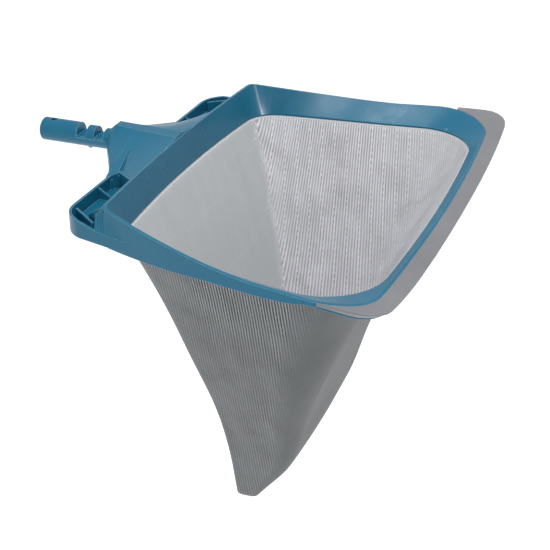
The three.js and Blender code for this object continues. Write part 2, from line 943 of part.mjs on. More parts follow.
const lipScrewOffset = (s) => mix(s.railOffset, shelfReach(s), 0.5);
const frontStation = (y) =>
  stations.reduce((best, s) =>
    s.hasLip && Math.abs(s.rim.y - y) < Math.abs(best.rim.y - y) ? s : best,
  );
const clampScrews = [1, -1].flatMap((side) =>
  clampScrewShares.map((share) =>
    screwPlace(stationAt(share), clampScrewOffset, side),
  ),
);
const lipScrews = [1, -1].flatMap((side) =>
  lipScrewSides
    .filter((y) => y > 0 || side > 0)
    .map((y) => {
      const s = frontStation(y);
      return screwPlace(s, lipScrewOffset(s), side);
    }),
);

function frameBody() {
  const ring = join(
    ringSolid(loopSections(collarWall)),
    ringSolid(loopSections(flange)),
    barSolid(lipSections(shelf)),
  );
  const mouthCore = ringCore();
  const back = cut(
    join(wing(1), wing(-1)),
    yokeHollow(),
  );
  const yoke = cut(stem(), vGroove(1), vGroove(-1));
  const rear = cut(join(back, yoke), mouthCore);
  const bosses = clampScrews.map(({ x, y }) =>
    post(x, y, mouthZ(x) - flangeThickness, mouthZ(x) + bossTop, bossRadius),
  );
  const pilots = [
    ...clampScrews.map(({ x, y }) =>
      post(x, y, 4 * ringBottom, mouthZ(x) + screwTop + fitGap, screwShank + fitGap),
    ),
    ...lipScrews.map(({ x, y }) =>
      post(x, y, 4 * ringBottom, collarHeight, screwShank + fitGap),
    ),
  ];
  return cut(join(ring, rear, ...bosses), clampSpace(), ...pilots);
}

// The channel under the flange that the clamp ring lies in.
function clampSpace() {
  const profile = (s) => [
    [-1, -4 * skirtDepth],
    [-1, -flangeThickness],
    [clampReach(s) + fitGap, -flangeThickness],
    [clampReach(s) + fitGap, -4 * skirtDepth],
  ];
  return ringSolid(loopSections(profile));
}

// The space inside the collar's wall, which the wings and yoke keep clear of.
function ringCore() {
  const profile = (s) => [
    [(s.railOffset - rimWidth) * 1.5, s.railZ * 1.5],
    [wall / 2, 0],
    [wall / 2, -4 * skirtDepth],
  ];
  const rows = loopSections(profile).map((section) => section.slice());
  const count = rows.length;
  const points = rows.flat();
  const top = new THREE.Vector3(mouthDepth / 2, 0, collarHeight * 1.5);
  const bottom = new THREE.Vector3(mouthDepth / 2, 0, -4 * skirtDepth);
  const faces = gridFaces(count, 3, true, false, (r, c) => r * 3 + c);
  points.push(top, bottom);
  for (let r = 0; r < count; r++) {
    const next = (r + 1) % count;
    faces.push(3 * count, next * 3, r * 3);
    faces.push(3 * count + 1, r * 3 + 2, next * 3 + 2);
  }
  return toSolid(pointGeometry(points, faces));
}

// ---------------------------------------------------------------- clamp, hem and lip

const hemTop = -flangeThickness - fitGap;
const hemBottom = hemTop - hemThickness;
const ringTop = hemBottom - fitGap;
const ringBottom = ringTop - ringThickness;
const screwTop = ringBottom + screwLength;
const clampReach = (s) =>
  s.hasLip ? Math.min(ringReach, s.railOffset - wall - 2 * fitGap) : ringReach;

function clampRing() {
  const profile = (s) => [
    [ringSetback, ringBottom],
    [ringSetback, ringTop],
    [clampReach(s), ringTop],
    [clampReach(s), ringBottom],
  ];
  const ring = ringSolid(loopSections(profile));
  const holes = clampScrews.map(({ x, y }) =>
    post(x, y, 2 * ringBottom, 0, screwShank + fitGap),
  );
  return cut(ring, ...holes);
}

const hemReach = (s) => clampReach(s) - 2 * cordRadius - 2 * fitGap;

function hemBand() {
  const inner = 0.4 - netSetback;
  const profile = (s) => [
    [inner, hemBottom],
    [inner, hemTop],
    [hemReach(s), hemTop],
    [hemReach(s), hemBottom],
  ];
  const holes = clampScrews.map(({ x, y }) =>
    post(x, y, 2 * ringBottom, 0, screwShank + fitGap),
  );
  return cut(ringSolid(loopSections(profile)), ...holes);
}

// The bead lies just outside the tape, in the gap between flange and ring.
function hemCord() {
  const sides = 6;
  const centreZ = (hemTop + hemBottom) / 2;
  const half = hemThickness / 2 - 0.02;
  const profile = (s) => {
    const points = [];
    for (let i = 0; i < sides; i++) {
      const angle = (i / sides) * 2 * Math.PI;
      points.push([
        hemReach(s) + fitGap + cordRadius + cordRadius * Math.cos(angle),
        centreZ + half * Math.sin(angle),
      ]);
    }
    return points;
  };
  return ringSolid(loopSections(profile));
}

// Underside of the lip, and how high its screws reach.
const lipBottom = (s) => s.shelfTop + fitGap;
const lipScrewTop = (s) => lipBottom(s) + lipScrewBite;

// Grey scraper lip, screwed down on the frame's shelf.
function frontLip() {
  const profile = (s) => [
    [lipInner(s), s.railZ - lipStep],
    [s.rimOffset, s.rimZ],
    [s.rimOffset, s.rimZ - lipEdgeThickness],
    [mix(shelfReach(s), s.rimOffset, 0.2), lipBottom(s)],
    [lipInner(s), lipBottom(s)],
  ];
  const holes = lipScrews.map(({ x, y, station }) =>
    post(x, y, 4 * ringBottom, mouthZ(x) + lipScrewTop(station), screwShank + fitGap),
  );
  return cut(barSolid(lipSections(profile)), ...holes);
}

// A pan-headed screw: a lathed head and shank in one profile.
function screw(x, y, seat, top) {
  const profile = [
    [0, seat - screwHeadHeight],
    [screwHead * 0.8, seat - screwHeadHeight],
    [screwHead, seat - screwHeadHeight * 0.4],
    [screwHead, seat],
    [screwShank, seat],
    [screwShank, top - screwShank],
    [0, top],
  ].map(([r, z]) => new THREE.Vector2(r, z));
  const geometry = new THREE.LatheGeometry(profile, smallFacets);
  geometry.rotateX(Math.PI / 2);
  return toSolid(geometry.translate(x, y, 0));
}

// ---------------------------------------------------------------- net bag

// A smooth run through values at equal steps.
function smoothValue(values, share) {
  const last = values.length - 1;
  const at = clamp01(share) * last;
  const i = Math.min(last - 1, Math.floor(at));
  const t = at - i;
  const value = (k) => values[Math.min(last, Math.max(0, k))];
  const slope = (k) =>
    (value(k + 1) - value(k - 1)) / (k > 0 && k < last ? 2 : 1);
  return (
    value(i) * (1 + 2 * t) * (1 - t) ** 2 +
    value(i + 1) * t * t * (3 - 2 * t) +
    slope(i) * t * (1 - t) ** 2 -
    slope(i + 1) * t * t * (1 - t)
  );
}

const bagKnots = [
  [0, mouthBackHalf, mouthDepth, mouthFrontHalf],
  ...bagTable,
];

// The bag's cross-section at a share of its depth, as a mouth-shaped half loop.
function bagShape(share, inset) {
  const [back, backHalf, front, frontHalf] = [0, 1, 2, 3].map((k) =>
    smoothValue(
      bagKnots.map((row) => row[k]),
      share,
    ),
  );
  return {
    back: back + inset,
    front: front - inset,
    backHalf: backHalf - inset,
    frontHalf: frontHalf - inset,
    backBow: mix(mouthBackBow, bagToeBow, share ** 0.6),
    sideBow: mix(mouthSideBow, bagToeBow, share),
    frontBow: mix(mouthFrontBow, bagToeBow, share ** 0.6),
    backRadius: mix(mouthBackRadius, bagToeRadius, share ** 0.7) - inset,
    frontRadius: mix(mouthFrontRadius, bagToeRadius, share ** 0.7) - inset,
  };
}

const bagTop = -flangeThickness - fitGap;
const bagShare = (row) => row / bagRows;
const bagZ = (share) => mix(bagTop, -bagDepth, share);

const backCornerMiddle = bagFacets.back + bagFacets.backCorner / 2;
const frontCornerMiddle =
  backCornerMiddle +
  bagFacets.backCorner / 2 +
  bagFacets.side +
  bagFacets.frontCorner / 2;

// Loops of the bag's outer and inner face at each row.
const bagLoops = Array.from({ length: bagRows + 1 }, (_, row) => {
  const share = bagShare(row);
  const z = (x) => bagZ(share) + mouthZ(x) * (1 - share) ** 4;
  const lift = (loop) => loop.map((p) => new THREE.Vector3(p.x, p.y, z(p.x)));
  return {
    outer: lift(wholeLoop(halfLoop(bagShape(share, netSetback), bagFacets))),
    inner: lift(wholeLoop(
        halfLoop(bagShape(share, netSetback + netThickness), bagFacets),
      )),
  };
});

// One wall of the bag: the columns from one corner to the next, a seam's gap short of each.
function netPanel(from, to) {
  const count = bagLoops[0].outer.length;
  const pick = (loop) => {
    const columns = [];
    for (let c = from; c <= to; c++) columns.push(loop[(c + count) % count].clone());
    const trim = (end, next) => {
      const way = next.clone().sub(end);
      end.addScaledVector(way.normalize(), seamGap / 2);
    };
    trim(columns[0], columns[1]);
    trim(columns[columns.length - 1], columns[columns.length - 2]);
    return columns;
  };
  const rows = bagLoops.map(({ outer, inner }) => [
    ...pick(outer),
    ...pick(inner).reverse(),
  ]);
  return panelSolid(rows);
}

// A panel as stacked sections; each section is its outer edge out and its inner edge back.
function panelSolid(rows) {
  const columns = rows[0].length;
  const index = (r, c) => r * columns + c;
  const faces = gridFaces(rows.length, columns, false, true, index);
  const last = rows.length - 1;
  for (let c = 0; c < columns / 2 - 1; c++) {
    const mirror = columns - 1 - c;
    for (const [r, turn] of [
      [0, false],
      [last, true],
    ]) {
      const quad = [index(r, c), index(r, c + 1), index(r, mirror - 1), index(r, mirror)];
      const [a, b, d, e] = turn ? quad.reverse() : quad;
      faces.push(a, b, d, a, d, e);
    }
  }
  return toSolid(pointGeometry(rows.flat(), faces));
}

// The short floor of the bag.
function toePatch() {
  const outline = wholeLoop(halfLoop(bagShape(1, netSetback), bagFacets)).map((p) => [
    p.x,
    p.y,
  ]);
  const bottom = -bagDepth - fitGap - netThickness;
  return extrude(outline, bottom, -bagDepth - fitGap);
}

// ---------------------------------------------------------------- snap clip

const bendX = stop - clipBend;
const buttonX = stop - buttonFromStop;
const legReach = (radius) =>
  Math.sqrt(radius * radius - (clipWidth / 2) ** 2) - seatGap;
const legTop = stemHeight + legReach(stemBore);
const legBottom = stemHeight - legReach(stemBore);
const flatStart = buttonX - clipFlat / 2;
const flatEnd = buttonX + clipFlat / 2 - 2;
const upperFlatEnd = slotEnd - fitGap;

// A strip of the clip's width that follows points [x, z], thickened by clipThickness
// towards the side given.
function strip(path, side) {
  const t = clipThickness * side;
  const outline = [
    ...path.map(([x, z]) => [x, z]),
    ...path.map(([x, z]) => [x, z + t]).reverse(),
  ];
  const slice = (y) => outline.map(([x, z]) => new THREE.Vector3(x, y, z));
  return panelSolid([slice(-clipWidth / 2), slice(clipWidth / 2)]);
}

function clipSpring() {
  const upper = strip(
    [
      [bendX, stemHeight + clipBendRadius],
      [upperFlatEnd - clipFlat / 2, legTop],
      [upperFlatEnd, legTop],
    ],
    -1,
  );
  const outer = new THREE.CylinderGeometry(
    clipBendRadius,
    clipBendRadius,
    clipWidth,
    roundFacets,
  );
  const bend = cut(
    toSolid(outer.translate(bendX, 0, stemHeight)),
    toSolid(
      new THREE.CylinderGeometry(
        clipBendRadius - clipThickness,
        clipBendRadius - clipThickness,
        2 * clipWidth,
        roundFacets,
      ).translate(bendX, 0, stemHeight),
    ),
    box(
      bendX,
      bendX + 2 * clipBendRadius,
      -clipWidth,
      clipWidth,
      stemHeight - 2 * clipBendRadius,
      stemHeight + 2 * clipBendRadius,
    ),
  );
  return join(upper, bend);
}

function clipArm() {
  const start = bendX + fitGap;
  const leg = strip(
    [
      [start, stemHeight - clipBendRadius],
      [flatStart, legBottom],
      [flatEnd, legBottom],
    ],
    1,
  );
  const hole = post(
    buttonX,
    0,
    legBottom - 2,
    legBottom + 3,
    buttonRadius + fitGap,
    roundFacets,
  );
  return cut(leg, hole);
}

function clipButton() {
  const headBottom = legBottom + clipThickness + fitGap;
  const tipZ = stemHeight - stemRadius - buttonProud;
  const profile = [
    [0, tipZ],
    [buttonRadius * 0.55, tipZ + 0.4],
    [buttonRadius * 0.9, tipZ + 1.5],
    [buttonRadius, tipZ + 3],
    [buttonRadius, headBottom],
    [buttonHeadRadius, headBottom],
    [buttonHeadRadius, headBottom + buttonHeadHeight],
    [0, headBottom + buttonHeadHeight],
  ].map(([r, z]) => new THREE.Vector2(r, z));
  const geometry = new THREE.LatheGeometry(profile, 2 * smallFacets);
  geometry.rotateX(Math.PI / 2);
  return toSolid(geometry.translate(buttonX, 0, 0));
}

// ---------------------------------------------------------------- the assembled part

const finish = (color, roughness, metalness = 0) =>
  new THREE.MeshStandardMaterial({ color, roughness, metalness });
const bluePlastic = finish(0x2d7596, 0.42);
const greyRubber = finish(0x96979a, 0.6);
const greyNet = finish(0x9ea2a5, 0.85);
const tape = finish(0x70757a, 0.9);
const springSteel = finish(0xb9bdc1, 0.3, 0.9);
const darkPlastic = finish(0x25323a, 0.45);

const part = new THREE.Group();
const assembly = new THREE.Group();
assembly.position.set(-stop, 0, -stemHeight);
part.add(assembly);

function addPiece(name, solid, material) {
  const mesh = new THREE.Mesh(toGeometry(solid), material);
  mesh.name = name;
  assembly.add(mesh);
}

addPiece("frame_body", frameBody(), bluePlastic);
addPiece("front_lip", frontLip(), greyRubber);
addPiece("clamp_ring", clampRing(), bluePlastic);
addPiece("hem_band", hemBand(), tape);
addPiece("hem_cord", hemCord(), tape);

const loopCount = bagLoops[0].outer.length;
addPiece("net_back_panel", netPanel(-backCornerMiddle, backCornerMiddle), greyNet);
addPiece("net_far_panel", netPanel(backCornerMiddle, frontCornerMiddle), greyNet);
addPiece(
  "net_front_panel",
  netPanel(frontCornerMiddle, loopCount - frontCornerMiddle),
  greyNet,
);
addPiece(
  "net_near_panel",
  netPanel(loopCount - frontCornerMiddle, loopCount - backCornerMiddle),
  greyNet,
);
addPiece("net_toe_patch", toePatch(), greyNet);

clampScrews.forEach(({ x, y }, i) => {
  const solid = screw(x, y, mouthZ(x) + ringBottom - fitGap, mouthZ(x) + screwTop - fitGap);
  addPiece(`clamp_screw_${i + 1}`, solid, springSteel);
});
lipScrews.forEach(({ x, y, station: s }, i) => {
  const seat = mouthZ(x) + s.shelfTop - lipShelfThickness - fitGap;
  const solid = screw(x, y, seat, mouthZ(x) + lipScrewTop(s) - fitGap);
  addPiece(`lip_screw_${i + 1}`, solid, springSteel);
});

addPiece("clip_spring", clipSpring(), springSteel);
addPiece("clip_arm", clipArm(), springSteel);
addPiece("clip_button", clipButton(), darkPlastic);

export default part;
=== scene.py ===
import math
import time

import bmesh
import bpy
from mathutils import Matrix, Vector, noise


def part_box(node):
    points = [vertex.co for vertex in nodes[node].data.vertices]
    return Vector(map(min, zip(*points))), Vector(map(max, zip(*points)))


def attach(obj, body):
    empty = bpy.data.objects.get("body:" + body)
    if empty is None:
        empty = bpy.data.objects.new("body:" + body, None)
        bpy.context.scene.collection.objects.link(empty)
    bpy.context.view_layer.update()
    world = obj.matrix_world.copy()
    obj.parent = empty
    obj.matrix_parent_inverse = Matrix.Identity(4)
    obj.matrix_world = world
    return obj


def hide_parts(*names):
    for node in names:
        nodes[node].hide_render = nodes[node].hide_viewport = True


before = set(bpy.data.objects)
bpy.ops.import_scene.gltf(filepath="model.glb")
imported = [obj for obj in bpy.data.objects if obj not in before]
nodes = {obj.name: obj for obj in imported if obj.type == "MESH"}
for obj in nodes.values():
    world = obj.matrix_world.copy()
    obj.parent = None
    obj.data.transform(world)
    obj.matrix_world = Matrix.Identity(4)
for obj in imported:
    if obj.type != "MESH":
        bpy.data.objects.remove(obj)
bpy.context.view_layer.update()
startTime = time.time()
mm = 0.001


def report(text):
    print(f"{time.time() - startTime:6.1f} s  {text}")


def mix(a, b, t):
    return a + (b - a) * t


def clamp01(t):
    return min(1.0, max(0.0, t))


def smoothStep(t):
    return t * t * (3 - 2 * t)


# The camera stands where the photographer did: to the near side, a little in front and above.
view = {
    "place": (0.7034, -1.2670, 0.5770),
    "down": 0.491,  # radians below the horizon
    "turn": 0.368,  # radians to the left of +Y
    "focalPixels": 1256.3,
    "framePixels": 550.0,
    "sensor": 36.0,
    "reach": 50.0,
}


def makeCamera():
    data = bpy.data.cameras.new("camera")
    data.sensor_fit = "HORIZONTAL"
    data.sensor_width = view["sensor"]
    data.lens = view["sensor"] * view["focalPixels"] / view["framePixels"]
    data.clip_end = view["reach"]
    camera = bpy.data.objects.new("camera", data)
    camera.location = view["place"]
    camera.rotation_euler = (math.pi / 2 - view["down"], 0.0, view["turn"])
    bpy.context.scene.collection.objects.link(camera)
    bpy.context.scene.camera = camera


makeCamera()


class Nodes:  # a material's node tree, with short calls for the nodes used here
    def __init__(self, name):
        self.material = bpy.data.materials.new(name)
        self.material.use_nodes = True
        self.tree = self.material.node_tree
        self.shader = self.tree.nodes["Principled BSDF"]

    def add(self, kind, **settings):
        node = self.tree.nodes.new(kind)
        for key, value in settings.items():
            setattr(node, key, value)
        return node

    def feed(self, socket, value):
        if isinstance(value, bpy.types.NodeSocket):
            self.tree.links.new(value, socket)
        elif isinstance(value, (tuple, list)) and socket.type == "RGBA":
            socket.default_value = (*value[:3], 1.0)
        else:
            socket.default_value = value

    def math(self, operation, a, b=0.0, c=0.0):
        node = self.add("ShaderNodeMath", operation=operation)
        for socket, value in zip(node.inputs, (a, b, c)):
            self.feed(socket, value)
        return node.outputs[0]

    def remap(self, value, low, high, to0, to1):
        node = self.add("ShaderNodeMapRange")
        for socket, v in zip(node.inputs, (value, low, high, to0, to1)):
            self.feed(socket, v)
        return node.outputs[0]

    def color(self, factor, a, b):
        node = self.add("ShaderNodeMix", data_type="RGBA")
        for socket, value in ((node.inputs[0], factor), (node.inputs[6], a), (node.inputs[7], b)):
            self.feed(socket, value)
        return node.outputs[2]

    def noise(self, point, scale, detail=2.0, rough=0.5):
        node = self.add("ShaderNodeTexNoise")
        self.feed(node.inputs["Vector"], point)
        self.feed(node.inputs["Scale"], scale)
        self.feed(node.inputs["Detail"], detail)
        self.feed(node.inputs["Roughness"], rough)
        return node.outputs["Fac"]

    # A look is the noise's scale, detail and roughness, and the two values it is spread between.
    def spots(self, point, look, to0=0.0, to1=1.0):
        return self.remap(self.noise(point, *look[:3]), *look[3:], to0, to1)

    def bump(self, height, size, normal=None):  # size is the strength and the distance in metres
        node = self.add("ShaderNodeBump")
        self.feed(node.inputs["Strength"], size[0])
        self.feed(node.inputs["Distance"], size[1])
        self.feed(node.inputs["Height"], height)
        if normal is not None:
            self.feed(node.inputs["Normal"], normal)
        return node.outputs["Normal"]

    def point(self):
        return self.add("ShaderNodeTexCoord").outputs["Object"]

    def stretched(self, point, **settings):
        node = self.add("ShaderNodeMapping")
        self.feed(node.inputs["Vector"], point)
        for key, value in settings.items():
            self.feed(node.inputs[key], value)
        return node.outputs[0]

    def mapParts(self, name):
        node = self.add("ShaderNodeSeparateXYZ")
        self.feed(node.inputs[0], self.add("ShaderNodeUVMap", uv_map=name).outputs["UV"])
        return node.outputs

    def wave(self, x, period):  # from 0 to 1
        angle = self.math("MULTIPLY_ADD", x, 2 * math.pi / period, 0.0)
        return self.math("MULTIPLY_ADD", self.math("SINE", angle), 0.5, 0.5)

    def set(self, **values):
        names = {"color": "Base Color", "rough": "Roughness", "normal": "Normal", "metal": "Metallic",
                 "specular": "Specular IOR Level", "sheen": "Sheen Weight", "glow": "Emission Color",
                 "glowPower": "Emission Strength"}
        for key, value in values.items():
            self.feed(self.shader.inputs[names[key]], value)


# Moulded plastic: rounded edges that catch the light, flow marks and fine grain. Edges are also mixed towards
# a pale tint, broken up by noise: a painted highlight.
mouldLook = {
    "edgeSamples": 6,
    # The painted edge highlight, from where it starts to where it is full:
    "highlightEdge": (0.985, 0.84),  # cosine between the rounded and the flat normal
    "slit": (0.6, 0.7),  # narrow slits, below this cosine, keep their flat walls
    "patch": (8.0, 4.0, 0.55, 0.3, 0.7),
    "patchTones": (0.9, 1.08),
    "streak": (70.0, 5.0, 0.65, 0.45, 0.75),
    "streakTone": (1.25, 0.01),
    "streakMost": 0.16,
    # Noise that breaks up the painted edge highlight.
    "highlightBreakup": (240.0, 3.0, 0.6, 0.3, 0.65),
    "highlightBreakupLeast": 0.55,
    "gloss": (45.0, 4.0, 0.6, 0.3, 0.7),
    "glossSpread": (-0.04, 0.06),
    "flowScale": 14.0,
    "flowBump": (0.1, 0.001),
    "grainBump": (0.14, 0.0001),
}


def plastic(name, make):
    n = Nodes(name)
    look = mouldLook
    point = n.point()
    plain = n.add("ShaderNodeNewGeometry").outputs["Normal"]
    bevel = n.add("ShaderNodeBevel", samples=look["edgeSamples"])
    n.feed(bevel.inputs["Radius"], make["edge"])
    turned = bevel.outputs["Normal"]
    facing = n.add("ShaderNodeVectorMath", operation="DOT_PRODUCT")
    n.feed(facing.inputs[0], turned)
    n.feed(facing.inputs[1], plain)
    cosine = facing.outputs["Value"]
    rounded = n.add("ShaderNodeMix", data_type="VECTOR")
    for socket, value in ((0, n.remap(cosine, *look["slit"], 0.0, 1.0)), (4, plain), (5, turned)):
        n.feed(rounded.inputs[socket], value)
    base = make["color"]
    dull, bright = (tuple(c * tone for c in base) for tone in look["patchTones"])
    tone = n.color(n.spots(point, look["patch"]), dull, bright)
    gain, lift = look["streakTone"]
    streaks = n.spots(point, look["streak"], 0.0, look["streakMost"])
    tone = n.color(streaks, tone, tuple(c * gain + lift for c in base))
    highlightBreakup = n.spots(point, look["highlightBreakup"], look["highlightBreakupLeast"], 1.0)
    # Painted highlight: edges are mixed towards the make's pale tint.
    edgeHighlight = n.math("MULTIPLY", n.remap(cosine, *look["highlightEdge"], 0.0, 1.0), highlightBreakup)
    n.set(color=n.color(n.math("MULTIPLY", edgeHighlight, make["highlightAmount"]), tone, make["highlightTint"]))
    n.set(rough=n.spots(point, look["gloss"], *(make["rough"] + d for d in look["glossSpread"])))
    flow = n.bump(n.noise(point, look["flowScale"]), look["flowBump"], rounded.outputs[1])
    n.set(normal=n.bump(n.noise(point, make["grain"]), look["grainBump"], flow), specular=make["specular"])
    return n.material


# Drawn spring strip and plated screws: fine lines along the metal and faint stains.
steelLook = {
    "lines": (1.0, 3.0, 0.6),
    "lineSpread": (0.2, 0.8),
    "stain": (160.0, 3.0, 0.5, 0.35, 0.7),
    "stainTone": 0.75,
    "glossSpread": (-0.07, 0.1),
    "lineBump": (0.2, 0.00005),
}


def steel(name, make):
    n = Nodes(name)
    look = steelLook
    point = n.point()
    lines = n.noise(n.stretched(point, Scale=make["lines"]), *look["lines"])
    stained = tuple(c * look["stainTone"] for c in make["color"])
    n.set(color=n.color(n.spots(point, look["stain"]), stained, make["color"]), metal=1.0)
    n.set(rough=n.remap(lines, *look["lineSpread"], *(make["rough"] + d for d in look["glossSpread"])))
    n.set(normal=n.bump(lines, look["lineBump"]))
    return n.material


# Knitted net. The cloth map holds the place across and along the ribs in metres, and the columns
# map holds the place of the beaded columns. The amount map holds how strongly the ribs stand out
# and how far the cloth leans into its dark side.
knitLook = {
    "drift": (11.0, 3.0, 0.55, 0.3, 0.7),
    "strongFrom": 0.35,
    "patch": (16.0, 3.0, 0.6, 0.35, 0.65),
    "patchLeast": 0.75,
    "haze": (6.0, 4.0, 0.6, 0.35, 0.7),
    "hazeShare": 0.25,
    "streak": (1.0, 5.0, 0.7, 0.3, 0.7),
    "streakScale": (30.0, 60.0, 9.0),
    "streakTurn": (0.45, 0.25, 0.0),
    "beadSpread": (0.45, 0.75),
    "beadColumn": 0.9,
    "rough": 0.75,
    "specular": 0.25,
    "sheen": 0.1,
    "courseHeight": 0.3,
    "weaveBump": (0.4, 0.0005),
}


def knit(name, make):
    n = Nodes(name)
    look = knitLook
    point = n.point()
    cloth, amount = n.mapParts("cloth"), n.mapParts("amount")
    along = cloth[1]
    across = n.math("ADD", cloth[0], n.spots(point, look["drift"], -make["wobble"], make["wobble"]))
    ribs = n.wave(across, make["rib"])
    courses = n.wave(along, make["course"])
    column = n.wave(n.mapParts("columns")[0], make["column"])
    strong = n.remap(column, look["strongFrom"], 1.0, make["quiet"], 1.0)
    patches = n.spots(point, look["patch"], look["patchLeast"], 1.0)
    depth = n.math("MULTIPLY", n.math("MULTIPLY", strong, patches), amount[0])
    swing = n.math("MULTIPLY", n.math("SUBTRACT", ribs, 0.5), n.math("MULTIPLY", depth, make["contrast"]))
    fine = n.math("MULTIPLY", n.math("SUBTRACT", courses, 0.5), make["courseDepth"])
    haze = n.spots(point, look["haze"])
    streaky = n.stretched(point, Scale=look["streakScale"], Rotation=look["streakTurn"])
    streak = n.spots(streaky, look["streak"], -make["streak"], make["streak"])
    shade = n.math("ADD", n.math("ADD", 0.5, swing), n.math("ADD", fine, streak))
    tone = n.color(shade, make["dark"], make["light"])
    # On the outside the haze colour is darker than the cloth's mid tone and darkens the front wall: painted
    # shade.
    tone = n.color(n.math("MULTIPLY_ADD", haze, look["hazeShare"], amount[1]), tone, make["haze"])
    beads = n.remap(n.wave(along, make["bead"]), *look["beadSpread"], 0.0, make["beads"])
    beaded = n.remap(column, look["beadColumn"], 1.0, 0.0, 1.0)
    tone = n.color(n.math("MULTIPLY", n.math("MULTIPLY", beads, beaded), depth), tone, make["light"])
    n.set(color=tone, rough=look["rough"], specular=look["specular"], sheen=look["sheen"])
    # The inside glows: painted light for daylight that comes through the mesh.
    if make["through"]:  # daylight that comes through the mesh
        n.set(glow=tone, glowPower=make["through"])
    height = n.math("ADD", n.math("MULTIPLY", ribs, depth), n.math("MULTIPLY", courses, look["courseHeight"]))
    n.set(normal=n.bump(height, look["weaveBump"]))
    return n.material


# Each make's pale tint and its amount set how strongly edges get the painted highlight.
blueMake = {"color": (0.009, 0.128, 0.222), "highlightTint": (0.22, 0.48, 0.62), "rough": 0.3, "edge": 0.0011,
            "highlightAmount": 0.8, "grain": 1400.0, "specular": 0.3}
ringMake = {**blueMake, "color": (0.008, 0.105, 0.185), "rough": 0.38, "edge": 0.0006, "highlightAmount": 0.4}
lipMake = {"color": (0.198, 0.2, 0.216), "highlightTint": (0.42, 0.42, 0.45), "rough": 0.5, "edge": 0.0009,
           "highlightAmount": 0.35, "grain": 900.0, "specular": 0.35}
buttonMake = {"color": (0.018, 0.10, 0.17), "highlightTint": (0.09, 0.2, 0.28), "rough": 0.36, "edge": 0.0005,
              "highlightAmount": 0.4, "grain": 2000.0, "specular": 0.5}
springMake = {"color": (0.52, 0.53, 0.55), "rough": 0.26, "lines": (60.0, 2400.0, 900.0)}
screwMake = {"color": (0.62, 0.62, 0.63), "rough": 0.3, "lines": (900.0, 900.0, 300.0)}
# The net's inside and outside are one cloth: the inside's lighter colours and glow are painted light, and the
# outside's darker colours, its darker haze above all, are painted shade.
insideMake = {"light": (0.74, 0.735, 0.775), "dark": (0.14, 0.138, 0.148), "haze": (0.36, 0.385, 0.39),
              "rib": 0.0033, "course": 0.0022, "column": 0.0163, "bead": 0.0078, "quiet": 0.7,
              "contrast": 0.75, "courseDepth": 0.06, "wobble": 0.0003, "beads": 0.4, "streak": 0.12,
              "through": 0.16}
outsideMake = {"light": (0.31, 0.325, 0.338), "dark": (0.006, 0.008, 0.01), "haze": (0.096, 0.104, 0.108),
               "rib": 0.0035, "course": 0.0023, "column": 0.0163, "bead": 0.0078, "quiet": 0.6,
               "contrast": 1.8, "courseDepth": 0.08, "wobble": 0.0004, "beads": 0.35, "streak": 0.1,
               "through": 0.0}
tapeMake = {"light": (0.76, 0.77, 0.78), "dark": (0.5, 0.51, 0.52), "haze": (0.62, 0.63, 0.64),
            "rib": 0.0012, "course": 0.0016, "column": 0.02, "bead": 0.01, "quiet": 0.8,
            "contrast": 1.0, "courseDepth": 0.3, "wobble": 0.0, "beads": 0.0, "streak": 0.0, "through": 0.0}

blue = plastic("blue_moulding", blueMake)
blueRing = plastic("blue_ring", ringMake)
lipRubber = plastic("lip_rubber", lipMake)
buttonPlastic = plastic("button_plastic", buttonMake)
springSteel = steel("spring_steel", springMake)
screwSteel = steel("screw_steel", screwMake)
netInsideLit = knit("net_inside_painted_light", insideMake)
netOutsideShaded = knit("net_outside_painted_shade", outsideMake)
hemTape = knit("hem_tape", tapeMake)

finishes = {"frame_body": blue, "clamp_ring": blueRing, "front_lip": lipRubber, "clip_button": buttonPlastic,
            "clip_spring": springSteel, "clip_arm": springSteel}
for name, material in finishes.items():
    for materialSlot in nodes[name].material_slots:
        materialSlot.material = material
report("materials")


# Curved walls of the mouldings are shaded smoothly up to this edge angle, and flat faces stay flat.
smoothing = {"weld": 0.000002, "angle": math.radians(26)}


def makeSmoother():
    group = bpy.data.node_groups.new("curved_walls", "GeometryNodeTree")
    group.interface.new_socket("Geometry", in_out="INPUT", socket_type="NodeSocketGeometry")
    group.interface.new_socket("Geometry", in_out="OUTPUT", socket_type="NodeSocketGeometry")
    add = group.nodes.new
    weld = add("GeometryNodeMergeByDistance")
    weld.inputs["Distance"].default_value = smoothing["weld"]
    faces = add("GeometryNodeSetShadeSmooth")
    edges = add("GeometryNodeSetShadeSmooth")
    edges.domain = "EDGE"
    below = add("FunctionNodeCompare")
    below.operation = "LESS_THAN"
    below.inputs[1].default_value = smoothing["angle"]
    link = group.links.new
    link(add("NodeGroupInput").outputs[0], weld.inputs["Geometry"])
    link(weld.outputs[0], faces.inputs["Geometry"])
    link(faces.outputs[0], edges.inputs["Geometry"])
    link(add("GeometryNodeInputMeshEdgeAngle").outputs["Unsigned Angle"], below.inputs[0])
    link(below.outputs[0], edges.inputs["Shade Smooth"])
    link(edges.outputs[0], add("NodeGroupOutput").inputs[0])
    return group


smoother = makeSmoother()


def smoothWalls(piece):
    piece.modifiers.new("curved walls", "NODES").node_group = smoother
    weighted = piece.modifiers.new("flat faces", "WEIGHTED_NORMAL")
    weighted.mode = "FACE_AREA_WITH_ANGLE"
    weighted.keep_sharp = True


for name in finishes:
    smoothWalls(nodes[name])
report("smooth walls")


def addMesh(name, vertices, faces, materials, indices=None, maps=None, smooth=True):
    mesh = bpy.data.meshes.new(name)
    mesh.from_pydata([tuple(v) for v in vertices], [], faces)
    for material in materials:
        mesh.materials.append(material)
    mesh.polygons.foreach_set("use_smooth", [smooth] * len(faces))
    if indices:
        mesh.polygons.foreach_set("material_index", indices)
    for mapName, corners in (maps or {}).items():
        layer = mesh.uv_layers.new(name=mapName)
        layer.data.foreach_set("uv", [c for face in corners for corner in face for c in corner])
    piece = bpy.data.objects.new(name, mesh)
    bpy.context.scene.collection.objects.link(piece)
    return piece


